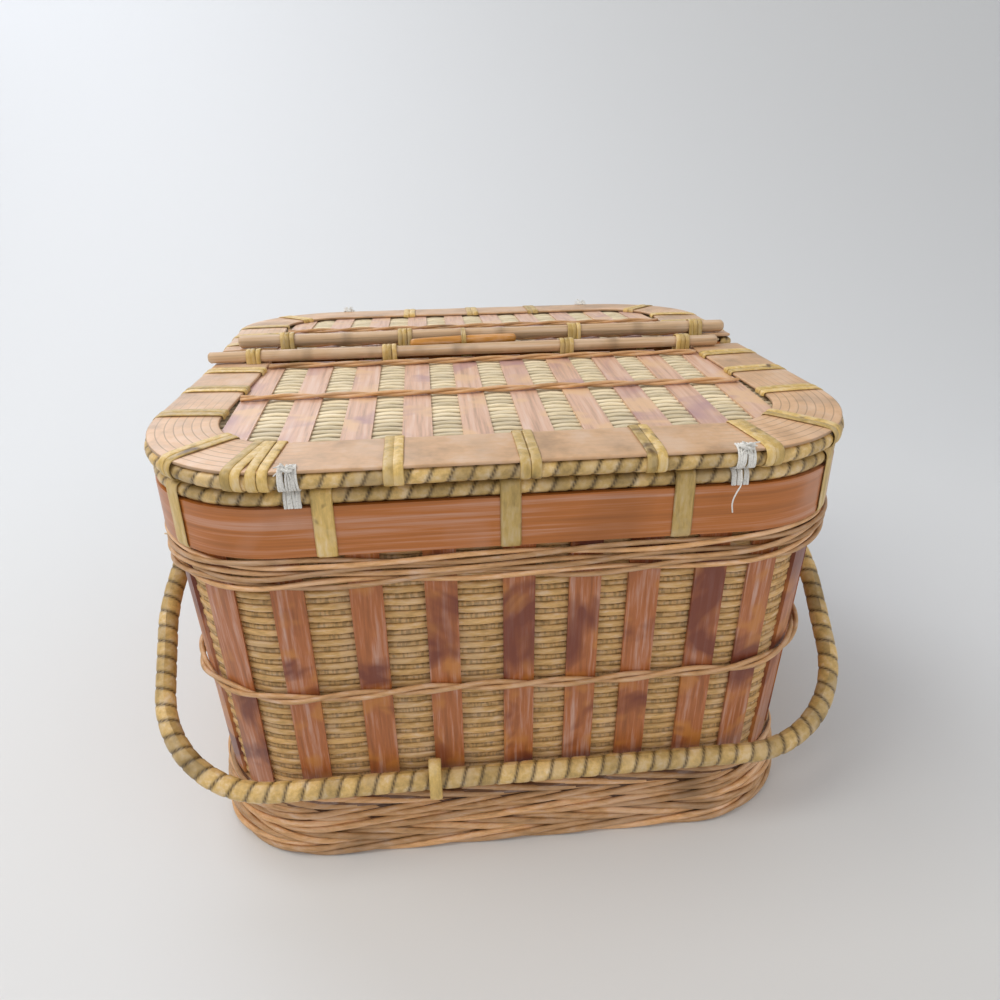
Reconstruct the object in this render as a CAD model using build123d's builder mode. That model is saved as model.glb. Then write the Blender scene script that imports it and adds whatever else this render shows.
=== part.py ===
from build123d import *
import math
import os

# Lidded picnic basket of bamboo and rattan, in millimetres.
# The origin is on the floor under the middle of the basket. The front is -Y, up is +Z.

# Woven wall: the outer face of the fine weave, at its foot and at its rim
wall_half_x_low, wall_half_y_low = 158.5, 155.5
wall_half_x_top, wall_half_y_top = 163.0, 164.5
wall_corner = 60.0
wall_foot_z, wall_top_z = 6.0, 209.5
weave_thick = 3.0

# Broad slats outside the weave and narrow stakes inside it
slat_width, slat_thick = 15.0, 2.0
stake_width, stake_thick = 5.0, 1.2
front_slat_places = (-136.0, -104.0, -69.0, -35.0, 1.0, 32.0, 60.0, 92.0, 118.0)
slat_pitch = 32.0
# Slats and stakes in the corners: which corner, and degrees round it from the front or rear
corner_slats = ((-1, -1, 63), (1, -1, 44), (1, -1, 72), (1, 1, 57), (-1, 1, 57))
corner_stakes = ((-1, -1, 48), (-1, -1, 80), (1, -1, 29), (1, -1, 58), (1, 1, 41), (-1, 1, 41))
rear_slat_count, side_slat_count = 9, 7

# Small gap between pieces that lie on one another, and between pieces that move
seat_gap, loose_gap = 0.1, 0.3

# Base and foot border
base_z, base_thick = 9.0, 4.0
foot_height, foot_rows = 36.0, 5
foot_thick_top, foot_thick_low = 5.0, 10.2

# Twined bands round the wall
twine_radius = 2.5
mid_twine_z = 106.0
upper_twine_z = (170.9, 176.2, 181.5)

# Rim of the body: two flat hoops, a wrapped round cane on top
hoop_low_z, hoop_thick, inner_hoop_thick = 186.0, 2.6, 2.0
cane_core_radius, cane_wrap_radius = 2.3, 3.5
rim_cane_z = 213.2
strap_thick, tie_width = 0.8, 9.0
rim_tie_front = (-83.0, -3.0, 74.0)
rim_tie_side = (-88.0, 0.0, 88.0)

# Lid flaps. The outline is that of the flat frame of one flap, before it is tilted.
lid_depth, lid_gap = 346.0, 16.0
lid_half_centre, lid_half_front = 160.0, 174.0
lid_corner = 68.0
lid_top_z = 228.0
frame_width, frame_thick = 32.0, 2.0
splint_width, splint_thick, splint_pitch, splint_count = 14.0, 1.2, 28.0, 10
lid_weave_thick = 2.2
under_frame_width, under_frame_thick = 14.0, 2.0
lid_cane_inset = 2.0
lid_tie_front = (-118.0, -107.0, -52.0, 5.0, 59.0, 111.0)
lid_tie_rear = (-50.0, -2.0, 48.0)
lid_tie_side = (76.0, 113.0, 147.0)
lid_twine_radius = 1.7
lid_twine_places = (96.0, 153.0)
front_lid_rise, rear_lid_rise = 2.0, 3.0

# Sticks along the meeting edges of the flaps, and the peg that lies between them
stick_length = 306.0
front_stick_radius, rear_stick_radius = 3.5, 4.0
front_stick_shift, rear_stick_shift = -10.0, 3.0
stick_tie_places = (-137.0, -58.0, 49.0, 121.0)
stick_tie_width = 8.0
peg_radius, peg_length, peg_turn = 3.25, 64.0, 5.5
peg_x, peg_y, peg_z = -13.0, -1.5, 240.0
peg_loop_thick, peg_loop_width = 1.0, 2.4

# Hinge strings, and the line that the flaps turn about
string_thick, string_width = 0.6, 8.0
string_places = (-95.0, 98.0)
hinge_out, hinge_z = 2.6, 217.8

# Swinging handles
pivot_x, pivot_y, pivot_z = 178.0, 12.0, 158.0
pivot_radius, pivot_head_radius, pivot_head_thick = 3.5, 4.9, 3.0
eye_radius, eye_length, pin_play = 9.0, 8.0, 1.3
bar_y, bar_z = 167.5, 51.0
handle_half_bar, handle_half_wide, handle_wide_at = 180.0, 190.0, 105.0
handle_corner, handle_bow = 62.0, 120.0
handle_core_radius, handle_wrap_radius = 4.0, 5.3
handle_wrap_start = 16.0

# Keeper ring on the front handle
ring_x, ring_width, ring_thick = -43.0, 6.0, 1.2
ring_spare = 0.5

os.makedirs("parts", exist_ok=True)


def save(part, name):
    """Label one finished piece and write its STEP file."""
    part.label = name
    export_step(part, f"parts/{name}.step")


def wall_half(z, proud):
    """Half width and half depth at height z, moved out by proud. The rim stands upright."""
    share = min(1, (z - wall_foot_z) / (hoop_low_z - wall_foot_z))
    half_x = wall_half_x_low + share * (wall_half_x_top - wall_half_x_low)
    half_y = wall_half_y_low + share * (wall_half_y_top - wall_half_y_low)
    return half_x + proud, half_y + proud


def wall_body(proud, low_z, high_z):
    """Solid inside the wall's face moved out by proud, between two heights."""
    bend_z = min(high_z, hoop_low_z)
    with BuildPart() as body:
        for z in (low_z, bend_z):
            half_x, half_y = wall_half(z, proud)
            with BuildSketch(Plane.XY.offset(z)) as section:
                RectangleRounded(2 * half_x, 2 * half_y, wall_corner + proud)
        loft(ruled=True)
        if high_z > bend_z:
            extrude(section.sketch, amount=high_z - bend_z, dir=(0, 0, 1))
    return body.part


def wall_layer(inner, outer, low_z, high_z):
    """Skin that follows the wall between two offsets from its face."""
    with BuildPart() as layer:
        add(wall_body(outer, low_z, high_z))
        add(wall_body(inner, low_z, high_z), mode=Mode.SUBTRACT)
    return layer.part


def ring_path(half_x, half_y, corner, z):
    """Closed rounded rectangle at height z, from lines and quarter arcs."""
    corners = [(-half_x, -half_y), (half_x, -half_y), (half_x, half_y), (-half_x, half_y)]
    with BuildLine(Plane.XY.offset(z)) as path:
        FilletPolyline(*corners, radius=corner, close=True)
    return path.wire()


def round_sweep(path, radius):
    """Round bar along a path."""
    with BuildPart() as bar:
        with BuildSketch(Plane(origin=path @ 0, z_dir=path % 0)):
            Circle(radius)
        sweep(path=path)
    return bar.part


def sleeve_sweep(path, outer, inner):
    """Round sleeve along a path."""
    with BuildPart() as sleeve:
        add(round_sweep(path, outer))
        add(round_sweep(path, inner), mode=Mode.SUBTRACT)
    return sleeve.part


def edge_plane(point, inward, z):
    """Plane across an edge: its x runs inward from the edge and its y runs up."""
    across = Vector(inward[0], inward[1], 0).normalized()
    return Plane(origin=(point[0], point[1], z), x_dir=across, z_dir=across.cross(Vector(0, 0, 1)))


def strap(plane, points, width):
    """Flat lashing of a given width whose bent shape is drawn on the plane."""
    with BuildPart() as bent:
        with BuildSketch(plane):
            Polygon(*points, align=None)
        extrude(amount=width / 2, both=True)
    return bent.part


# Base panel
base_half_x, base_half_y = wall_half(base_z, -weave_thick - loose_gap)
with BuildPart() as base_panel:
    with BuildSketch(Plane.XY.offset(base_z)):
        RectangleRounded(2 * base_half_x, 2 * base_half_y, wall_corner - weave_thick - loose_gap)
    extrude(amount=base_thick)
save(base_panel.part, "base_panel")

# Holes for the handle pivots go through everything in the side walls
with BuildPart() as pivot_holes:
    for side_y in (-pivot_y, pivot_y):
        with BuildSketch(Plane.YZ.offset(-pivot_x)):
            with Locations((side_y, pivot_z)):
                Circle(pivot_radius + seat_gap)
        extrude(amount=2 * pivot_x)

# Fine weave of the wall, open at the top
with BuildPart() as wall_weave:
    add(wall_layer(-weave_thick, 0, wall_foot_z, wall_top_z))
    add(pivot_holes.part, mode=Mode.SUBTRACT)
save(wall_weave.part, "wall_weave")


def side_places(count):
    """Even places along a wall, centred."""
    return [(i - (count - 1) / 2) * slat_pitch for i in range(count)]


def wall_strips(inner, outer, low_z, high_z, width, front, rear, sides, corners):
    """Upright strips that follow the wall, cut from one skin."""
    reach = 2 * slat_pitch
    far_x, far_y = wall_half_x_top, wall_half_y_top
    with BuildPart() as strips:
        add(wall_layer(inner, outer, low_z, high_z))
        with BuildSketch(Plane.XY.offset(low_z)):
            with Locations(*[(x, -far_y) for x in front], *[(x, far_y) for x in rear]):
                Rectangle(width, reach)
            with Locations(*[(s * far_x, y) for s in (-1, 1) for y in sides]):
                Rectangle(reach, width)
            for sx, sy, degrees in corners:
                out_x, out_y = sx * math.sin(math.radians(degrees)), sy * math.cos(math.radians(degrees))
                spot = (sx * (far_x - wall_corner) + wall_corner * out_x,
                        sy * (far_y - wall_corner) + wall_corner * out_y)
                with Locations(Location(spot, math.degrees(math.atan2(out_y, out_x)))):
                    Rectangle(reach / 2, width)
        extrude(amount=high_z - low_z, mode=Mode.INTERSECT)
    return strips.part


slats_from, slats_to = foot_height + seat_gap, wall_top_z
with BuildPart() as wall_slats:
    add(wall_strips(seat_gap, seat_gap + slat_thick, slats_from, slats_to, slat_width,
                    front_slat_places, side_places(rear_slat_count), side_places(side_slat_count),
                    corner_slats))
save(wall_slats.part, "wall_slats")

# Narrow stakes stand inside the weave, in the middle of each space between slats
stakes_from, stakes_to = base_z + base_thick + seat_gap, hoop_low_z - 2 * strap_thick
front_gaps = [(a + b) / 2 for a, b in zip(front_slat_places, front_slat_places[1:])]
with BuildPart() as inner_stakes:
    add(wall_strips(-weave_thick - seat_gap - stake_thick, -weave_thick - seat_gap,
                    stakes_from, stakes_to, stake_width, front_gaps,
                    side_places(rear_slat_count - 1), side_places(side_slat_count - 1), corner_stakes))
    add(pivot_holes.part, mode=Mode.SUBTRACT)
save(inner_stakes.part, "inner_stakes")

# Foot border: braided rows that flare out, drawn as one ring with a rounded row profile
foot_inner_x, foot_inner_y = wall_half(foot_height, loose_gap)
row_height = foot_height / foot_rows
foot_path = ring_path(foot_inner_x, foot_inner_y, wall_corner + loose_gap, 0)
with BuildPart() as foot_border:
    foot_outward = (foot_path % 0).cross(Vector(0, 0, 1))
    with BuildSketch(Plane(origin=foot_path @ 0, x_dir=foot_outward, z_dir=foot_path % 0)) as foot_section:
        with BuildLine():
            side = 1 if foot_section.workplanes[0].y_dir.Z > 0 else -1
            edge = []
            for row in range(foot_rows + 1):
                share = row / foot_rows
                reach = foot_thick_low + share * (foot_thick_top - foot_thick_low)
                edge.append((reach - 1.2, side * row * row_height))
            for low, high in zip(edge, edge[1:]):
                middle = ((low[0] + high[0]) / 2 + 1.5, (low[1] + high[1]) / 2)
                ThreePointArc(low, middle, high)
            Line(edge[-1], (0, edge[-1][1]))
            Line((0, edge[-1][1]), (0, 0))
            Line((0, 0), edge[0])
        make_face()
    sweep(path=foot_path)
save(foot_border.part, "foot_border")


def twine_ring(z):
    """One twined row round the wall, over the slats."""
    half_x, half_y = wall_half(z, 0)
    out = seat_gap + slat_thick + seat_gap + twine_radius
    return round_sweep(ring_path(half_x + out, half_y + out, wall_corner + out, z), twine_radius)


save(twine_ring(mid_twine_z), "mid_twine")

with BuildPart() as upper_twine:
    for z in upper_twine_z:
        add(twine_ring(z))
save(upper_twine.part, "upper_twine")

# Flat hoops at the rim, outside and inside the wall
rim_proud = seat_gap + slat_thick + loose_gap


def hoop(inner, outer):
    """Upright flat hoop round the rim between two offsets from the wall's face."""
    with BuildPart() as ring:
        with BuildSketch(Plane.XY.offset(hoop_low_z)):
            for offset, mode in ((outer, Mode.ADD), (inner, Mode.SUBTRACT)):
                RectangleRounded(2 * (wall_half_x_top + offset), 2 * (wall_half_y_top + offset),
                                 wall_corner + offset, mode=mode)
        extrude(amount=wall_top_z - hoop_low_z)
    return ring.part


save(hoop(rim_proud, rim_proud + hoop_thick), "rim_hoop_outer")
inner_face = -weave_thick - loose_gap
save(hoop(inner_face - inner_hoop_thick, inner_face), "rim_hoop_inner")

# Wrapped cane on top of the rim
rim_out_x = wall_half_x_top + rim_proud + hoop_thick
rim_out_y = wall_half_y_top + rim_proud + hoop_thick
rim_out_corner = wall_corner + rim_proud + hoop_thick
rim_cane_path = ring_path(rim_out_x - cane_wrap_radius, rim_out_y - cane_wrap_radius,
                          rim_out_corner - cane_wrap_radius, rim_cane_z)
save(round_sweep(rim_cane_path, cane_core_radius), "rim_cane")
save(sleeve_sweep(rim_cane_path, cane_wrap_radius, cane_core_radius + seat_gap), "rim_wrap")

# Lashings over the rim. Inset 0 is the outer face of the outer hoop.
hoop_back = hoop_thick + rim_proud + weave_thick + loose_gap + inner_hoop_thick


def rim_strap_points(thick, low_z):
    """Bent shape of a lashing over the cane and down both hoops."""
    gap = 0.15
    out = -gap
    back = hoop_back + 2 * gap + 0.05
    cane = cane_wrap_radius
    top = rim_cane_z + cane + gap
    inner = [(out, low_z), (out, rim_cane_z + 1.7), (cane - 2.0, top), (cane + 2.0, top),
             (2 * cane + 0.4, rim_cane_z + 1.4), (back, wall_top_z + 0.5), (back, low_z)]
    outer = [(back + thick, low_z - thick), (back + thick, wall_top_z + 0.8),
             (2 * cane + 0.4 + thick, rim_cane_z + 1.7), (cane + 2.3, top + thick),
             (cane - 2.3, top + thick), (out - thick, rim_cane_z + 2.1), (out - thick, low_z - thick)]
    outer_toe, inner_toe = hoop_thick, hoop_back - inner_hoop_thick + loose_gap
    return ([(outer_toe, low_z)] + inner + [(inner_toe, low_z), (inner_toe, low_z - thick)]
            + outer + [(outer_toe, low_z - thick)])


def rim_planes(front, rear, sides, corner_too):
    """Planes across the rim at the given places along its four sides."""
    planes = [edge_plane((x, -rim_out_y), (0, 1), 0) for x in front]
    planes += [edge_plane((x, rim_out_y), (0, -1), 0) for x in rear]
    planes += [edge_plane((s * rim_out_x, y), (-s, 0), 0) for s in (-1, 1) for y in sides]
    if corner_too:
        turn = rim_out_corner * (1 - math.sqrt(0.5))
        planes += [edge_plane((sx * (rim_out_x - turn), sy * (rim_out_y - turn)), (-sx, -sy), 0)
                   for sx in (-1, 1) for sy in (-1, 1)]
    return planes


with BuildPart() as rim_ties:
    for plane in rim_planes(rim_tie_front, rim_tie_front, rim_tie_side, True):
        add(strap(plane, rim_strap_points(strap_thick, hoop_low_z - seat_gap), tie_width))
save(rim_ties.part, "rim_ties")


def rim_string_points(thick):
    """Short loop of string over the outside of the rim cane."""
    gap, cane = 0.15, cane_wrap_radius
    top = rim_cane_z + cane + gap
    low = rim_cane_z - cane
    return [(-gap, low), (-gap, rim_cane_z + 1.7), (cane - 2.0, top), (cane + 2.0, top),
            (cane + 2.0, top + thick - gap), (cane - 2.2, top + thick - gap),
            (-gap - thick, rim_cane_z + 2.0), (-gap - thick, low)]


with BuildPart() as rim_hinge_strings:
    for plane in rim_planes(string_places, string_places, (), False):
        add(strap(plane, rim_string_points(string_thick), string_width))
save(rim_hinge_strings.part, "rim_hinge_strings")

# Lid flap, drawn flat for the front and placed afterwards
flap_front_y = -lid_depth / 2
flap_inner_y = -lid_gap / 2
flap_depth = flap_inner_y - flap_front_y
side_slope = (lid_half_front - lid_half_centre) / flap_depth


def side_x(y):
    """Half width of the flap's frame at y."""
    return lid_half_centre + side_slope * (flap_inner_y - y)


def flap_edge(inset, beyond):
    """Open outline of a flap, moved in by inset and run past its meeting edge."""
    lean = math.sqrt(1 + side_slope ** 2)
    end_y = flap_inner_y + beyond
    low_y = flap_front_y + inset
    points = [(side_x(end_y) - inset * lean, end_y), (side_x(low_y) - inset * lean, low_y)]
    with BuildLine() as line:
        FilletPolyline((-points[0][0], end_y), (-points[1][0], low_y), points[1], points[0],
                       radius=lid_corner - inset)
    return line.wire()


def flap_plate(inset, thick, top_z, back=0):
    """Flat plate with the flap's outline, up to back short of the meeting edge."""
    edge = flap_edge(inset, -back)
    with BuildPart() as plate:
        with BuildSketch(Plane.XY.offset(top_z - thick)):
            with BuildLine():
                add(edge)
                Line(edge @ 1, edge @ 0)
            make_face()
        extrude(amount=thick)
    return plate.part


def flap_frame(inset, width, thick, top_z):
    """Flat band along the three outer sides of a flap."""
    past = 10.0
    with BuildPart() as frame:
        add(flap_plate(inset, thick, top_z))
        inner_edge = flap_edge(inset + width, past)
        with BuildSketch(Plane.XY.offset(top_z - thick)):
            with BuildLine():
                add(inner_edge)
                Line(inner_edge @ 1, inner_edge @ 0)
            make_face()
        extrude(amount=thick, mode=Mode.SUBTRACT)
    return frame.part


frame_low = lid_top_z - frame_thick
splint_low = frame_low - splint_thick - seat_gap
weave_low = splint_low - lid_weave_thick - seat_gap
lid_cane_z = frame_low - cane_wrap_radius - 0.15
panel_inset = lid_cane_inset + cane_wrap_radius + loose_gap

flap_weave = flap_plate(panel_inset, lid_weave_thick, splint_low - seat_gap)
flap_frame_top = flap_frame(0, frame_width, frame_thick, lid_top_z)
flap_frame_under = flap_frame(panel_inset, under_frame_width, under_frame_thick, weave_low - seat_gap)

# Splints run from under the front band to the meeting edge, on top of the fine weave
splint_tuck = 6.0
with BuildPart() as flap_splints:
    add(flap_plate(panel_inset + splint_tuck, splint_thick, splint_low + splint_thick))
    with BuildSketch(Plane.XY.offset(splint_low)):
        with GridLocations(splint_pitch, 0, splint_count, 1):
            Rectangle(splint_width, lid_depth)
    extrude(amount=splint_thick, mode=Mode.INTERSECT)

# Wrapped cane under the rim of the flap
flap_cane_line = flap_edge(lid_cane_inset, 0).moved(Location((0, 0, lid_cane_z)))
flap_cane = round_sweep(flap_cane_line, cane_core_radius)
flap_wrap = sleeve_sweep(flap_cane_line, cane_wrap_radius, cane_core_radius + seat_gap)


def flap_strap_points(thick, reach, under):
    """Bent shape of a lashing over the band, round the cane and under it."""
    gap, top, low = 0.1, lid_top_z, lid_cane_z - cane_wrap_radius
    front = lid_cane_inset - cane_wrap_radius
    inner = [(reach, top + gap), (-gap, top + gap), (front - gap, lid_cane_z + 2.0),
             (front - gap, lid_cane_z - 2.0), (lid_cane_inset - 1.8, low - gap), (under, low - gap)]
    outer = [(under, low - gap - thick), (lid_cane_inset - 2.1, low - gap - thick),
             (front - gap - thick, lid_cane_z - 2.3), (front - gap - thick, lid_cane_z + 2.2),
             (-0.5 - gap, top + gap + thick)]
    if reach <= frame_width:
        return inner + outer + [(reach, top + gap + thick)]
    turned = [(reach, frame_low + gap), (reach, top + gap)]
    heel = [(reach + thick, top + gap + thick), (reach + thick, frame_low + gap)]
    return turned + inner[1:] + outer + heel


def front_plane(x):
    """Plane across the flap's front edge at x, also where that edge turns into the corner."""
    centre = flap_edge(0, 0).edges().filter_by(GeomType.CIRCLE)[0].arc_center
    past = abs(x) - abs(centre.X)
    if past <= 0:
        return edge_plane((x, flap_front_y), (0, 1), 0)
    drop = math.sqrt(lid_corner ** 2 - past ** 2)
    return edge_plane((x, centre.Y - drop), (-math.copysign(past, x), drop), 0)


def flap_planes(front, sides):
    """Planes across the flap's edge, along the front, at the corners and on the sides."""
    planes = [front_plane(x) for x in front]
    for arc in flap_edge(0, 0).edges().filter_by(GeomType.CIRCLE):
        spot = arc @ 0.5
        inward = arc.arc_center - spot
        planes.append(edge_plane((spot.X, spot.Y), (inward.X, inward.Y), 0))
    for depth in sides:
        y = flap_front_y + depth
        planes += [edge_plane((s * side_x(y), y), (-s, -side_slope), 0) for s in (-1, 1)]
    return planes


def flap_lashings(front):
    """All flat lashings round the edge of one flap."""
    with BuildPart() as lashings:
        for plane in flap_planes(front, lid_tie_side):
            points = flap_strap_points(strap_thick, frame_width + 0.4, panel_inset + under_frame_width)
            add(strap(plane, points, tie_width))
    return lashings.part


with BuildPart() as flap_strings:
    for x in string_places:
        points = flap_strap_points(string_thick, 5.0, panel_inset + 2.0)
        add(strap(edge_plane((x, flap_front_y), (0, 1), 0), points, string_width))

# Twined rows across the splints
with BuildPart() as flap_twines:
    for depth in lid_twine_places:
        twine_half = side_x(flap_front_y + depth) - frame_width - lid_twine_radius
        with BuildSketch(Plane.YZ.offset(-twine_half)):
            with Locations((flap_front_y + depth, splint_low + splint_thick + seat_gap + lid_twine_radius)):
                Circle(lid_twine_radius)
        extrude(amount=2 * twine_half)


def stick_axis(radius):
    """Place of a stick across the flap: y and z of its axis."""
    return flap_inner_y - radius, lid_top_z + seat_gap + radius


def flap_stick(radius, shift):
    """Round stick on top of the meeting edge of a flap."""
    y, z = stick_axis(radius)
    with BuildPart() as stick:
        with BuildSketch(Plane.YZ.offset(shift - stick_length / 2)):
            with Locations((y, z)):
                Circle(radius)
        extrude(amount=stick_length)
        fillet(stick.edges(), 1.2)
    return stick.part


def stick_lashings(radius):
    """Lashings over a stick and round the meeting edge to the underside."""
    y, z = stick_axis(radius)
    gap, thick = 0.15, strap_thick
    near, far, top = y - radius - gap, y + radius + gap, z + radius + gap
    cut, cut_out = 0.6 * radius, 0.55 * radius
    with BuildPart() as lashings:
        for x in stick_tie_places:
            on_frame = abs(x) + stick_tie_width / 2 > side_x(flap_inner_y) - frame_width - 1.0
            foot = lid_top_z + gap if on_frame else splint_low + splint_thick + gap
            low = weave_low - gap - (under_frame_thick + seat_gap if on_frame else 0)
            points = [(near, foot), (near, top - cut), (near + cut, top), (far - cut, top),
                      (far, top - cut), (far, low), (near + 1.0, low), (near + 1.0, low - thick),
                      (far + thick, low - thick), (far + thick, top - cut_out),
                      (far - cut_out, top + thick), (near + cut_out, top + thick),
                      (near - thick, top - cut_out), (near - thick, foot)]
            plane = Plane(origin=(x, 0, 0), x_dir=(0, 1, 0), z_dir=(1, 0, 0))
            add(strap(plane, points, stick_tie_width))
    return lashings.part


hinge_y = -flap_front_y + hinge_out


def place_front(part):
    """Tilt a front piece about the front hinge line."""
    return part.rotate(Axis((0, -hinge_y, hinge_z), (1, 0, 0)), front_lid_rise)


def place_rear(part):
    """Turn a front piece to the rear and tilt it about the rear hinge line."""
    turned = part.rotate(Axis.Z, 180)
    return turned.rotate(Axis((0, hinge_y, hinge_z), (-1, 0, 0)), rear_lid_rise)


shared_pieces = {
    "lid_weave": flap_weave,
    "lid_splints": flap_splints.part,
    "lid_frame": flap_frame_top,
    "lid_under_frame": flap_frame_under,
    "lid_cane": flap_cane,
    "lid_wrap": flap_wrap,
    "lid_twines": flap_twines.part,
    "lid_hinge_strings": flap_strings.part,
}
for piece, part in shared_pieces.items():
    save(place_front(part), f"front_{piece}")
    save(place_rear(part), f"rear_{piece}")

save(place_front(flap_lashings(lid_tie_front)), "front_lid_ties")
save(place_rear(flap_lashings(lid_tie_rear)), "rear_lid_ties")
save(place_front(flap_stick(front_stick_radius, front_stick_shift)), "front_stick")
save(place_rear(flap_stick(rear_stick_radius, -rear_stick_shift)), "rear_stick")
save(place_front(stick_lashings(front_stick_radius)), "front_stick_ties")
save(place_rear(stick_lashings(rear_stick_radius)), "rear_stick_ties")

# Toggle peg between the sticks
peg_plane = Plane(origin=(peg_x, peg_y, peg_z), x_dir=(-math.sin(math.radians(peg_turn)),
                                                      math.cos(math.radians(peg_turn)), 0),
                  z_dir=(math.cos(math.radians(peg_turn)), math.sin(math.radians(peg_turn)), 0))
with BuildPart() as toggle_peg:
    with BuildSketch(peg_plane):
        Circle(peg_radius)
    extrude(amount=peg_length / 2, both=True)
    fillet(toggle_peg.edges(), 1.0)
save(toggle_peg.part, "toggle_peg")

# Cord loop that ties the peg to the rear stick
lift = math.radians(rear_lid_rise)
stick_y, stick_z = stick_axis(rear_stick_radius)
arm_y, arm_z = hinge_y + stick_y, stick_z - hinge_z
rear_stick_y = hinge_y - (arm_y * math.cos(lift) - arm_z * math.sin(lift))
rear_stick_z = hinge_z + arm_z * math.cos(lift) + arm_y * math.sin(lift)
loop_inner = rear_stick_radius + loose_gap
loop_span = math.hypot(rear_stick_y - peg_y, rear_stick_z - peg_z)
loop_tilt = math.degrees(math.atan2(rear_stick_z - peg_z, rear_stick_y - peg_y))
with BuildPart() as peg_loop:
    with BuildSketch(Plane.YZ.offset(peg_x)):
        middle = ((rear_stick_y + peg_y) / 2, (rear_stick_z + peg_z) / 2)
        with Locations(Location(middle, loop_tilt)):
            SlotCenterToCenter(loop_span, 2 * (loop_inner + peg_loop_thick))
            SlotCenterToCenter(loop_span, 2 * loop_inner, mode=Mode.SUBTRACT)
    extrude(amount=peg_loop_width / 2, both=True)
save(peg_loop.part, "peg_loop")

# Handle pivots: a pin through the wall on each side with a head at both ends
pin_inner_x = wall_half(pivot_z, -weave_thick - 2 * seat_gap - stake_thick - loose_gap)[0]
pin_head_x = pivot_x + eye_length / 2 + pin_play


def pivot_pins(y):
    """The two pins that one handle turns on."""
    with BuildPart() as pins:
        for side in (-1, 1):
            for start, length, radius in (
                (pin_inner_x - pivot_head_thick, pivot_head_thick, pivot_head_radius),
                (pin_inner_x, pin_head_x - pin_inner_x, pivot_radius),
                (pin_head_x, pivot_head_thick, pivot_head_radius),
            ):
                with BuildSketch(Plane.YZ.offset(side * start)):
                    with Locations((y, pivot_z)):
                        Circle(radius)
                extrude(amount=side * length)
    return pins.part


save(pivot_pins(-pivot_y), "front_handle_pins")
save(pivot_pins(pivot_y), "rear_handle_pins")

# Swinging handle, drawn in its own plane through the pins and the bar
arm_rise, arm_run = pivot_z - bar_z, bar_y - pivot_y
arm_length = math.hypot(arm_rise, arm_run)
handle_plane = Plane(origin=(0, -bar_y, bar_z), x_dir=(1, 0, 0), z_dir=(0, -arm_rise, arm_run))


def handle_path(from_pin):
    """Bow of the handle, from a distance off one pin to the same off the other."""
    reach = math.hypot(handle_half_wide - pivot_x, arm_length - handle_wide_at)
    share = from_pin / reach
    start = (pivot_x + share * (handle_half_wide - pivot_x),
             arm_length - share * (arm_length - handle_wide_at))
    wide, low = (handle_half_wide, handle_wide_at), (handle_half_bar, 0)
    with BuildLine(handle_plane) as bow:
        FilletPolyline((-start[0], start[1]), (-wide[0], wide[1]), (-low[0], low[1]), low, wide, start,
                       radius=[handle_bow, handle_corner, handle_corner, handle_bow])
    return bow.wire()


with BuildPart() as handle_core:
    add(round_sweep(handle_path(pivot_radius + loose_gap + 1.5), handle_core_radius))
    for side in (-1, 1):
        with BuildSketch(Plane.YZ.offset(side * (pivot_x - eye_length / 2))):
            with Locations((-pivot_y, pivot_z)):
                Circle(eye_radius)
        extrude(amount=side * eye_length)
    with BuildSketch(Plane.YZ.offset(-2 * pivot_x)):
        with Locations((-pivot_y, pivot_z)):
            Circle(pivot_radius + loose_gap)
    extrude(amount=4 * pivot_x, mode=Mode.SUBTRACT)
handle_wrap = sleeve_sweep(handle_path(handle_wrap_start), handle_wrap_radius, handle_core_radius + seat_gap)

save(handle_core.part, "front_handle_core")
save(handle_wrap, "front_handle_wrap")
save(handle_core.part.mirror(Plane.XZ), "rear_handle_core")
save(handle_wrap.mirror(Plane.XZ), "rear_handle_wrap")

# Keeper ring on the front bar, tall enough for two bars
ring_half_wide = handle_wrap_radius + ring_spare
ring_half_tall = 2 * handle_wrap_radius + ring_spare
with BuildPart() as keeper_ring:
    with BuildSketch(Plane.YZ.offset(ring_x)):
        with Locations(Location((-bar_y, bar_z), 90)):
            SlotOverall(2 * (ring_half_tall + ring_thick), 2 * (ring_half_wide + ring_thick))
            SlotOverall(2 * ring_half_tall, 2 * ring_half_wide, mode=Mode.SUBTRACT)
    extrude(amount=ring_width / 2, both=True)
save(keeper_ring.part, "keeper_ring")
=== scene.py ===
import math
import random

import bmesh
import bpy
import numpy as np
from bpy.props import FloatProperty, FloatVectorProperty, IntProperty, PointerProperty
from mathutils import Matrix, Vector


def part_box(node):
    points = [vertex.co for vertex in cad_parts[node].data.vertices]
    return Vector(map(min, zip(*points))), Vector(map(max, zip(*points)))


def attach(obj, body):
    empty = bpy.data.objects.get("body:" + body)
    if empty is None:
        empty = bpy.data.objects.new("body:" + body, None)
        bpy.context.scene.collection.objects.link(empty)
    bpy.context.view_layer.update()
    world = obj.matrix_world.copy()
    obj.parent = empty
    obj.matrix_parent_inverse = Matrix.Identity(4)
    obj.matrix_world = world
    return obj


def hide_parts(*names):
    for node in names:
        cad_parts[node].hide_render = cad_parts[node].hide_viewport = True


bl_info = {
    "name": "Lidded Picnic Basket",
    "version": (1, 0, 0),
    "blender": (4, 5, 0),
    "location": "View3D > Sidebar > Basket",
    "description": "Dresses the packed basket in woven bamboo, twined cane and wrapped rattan",
    "category": "Object",
}

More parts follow.
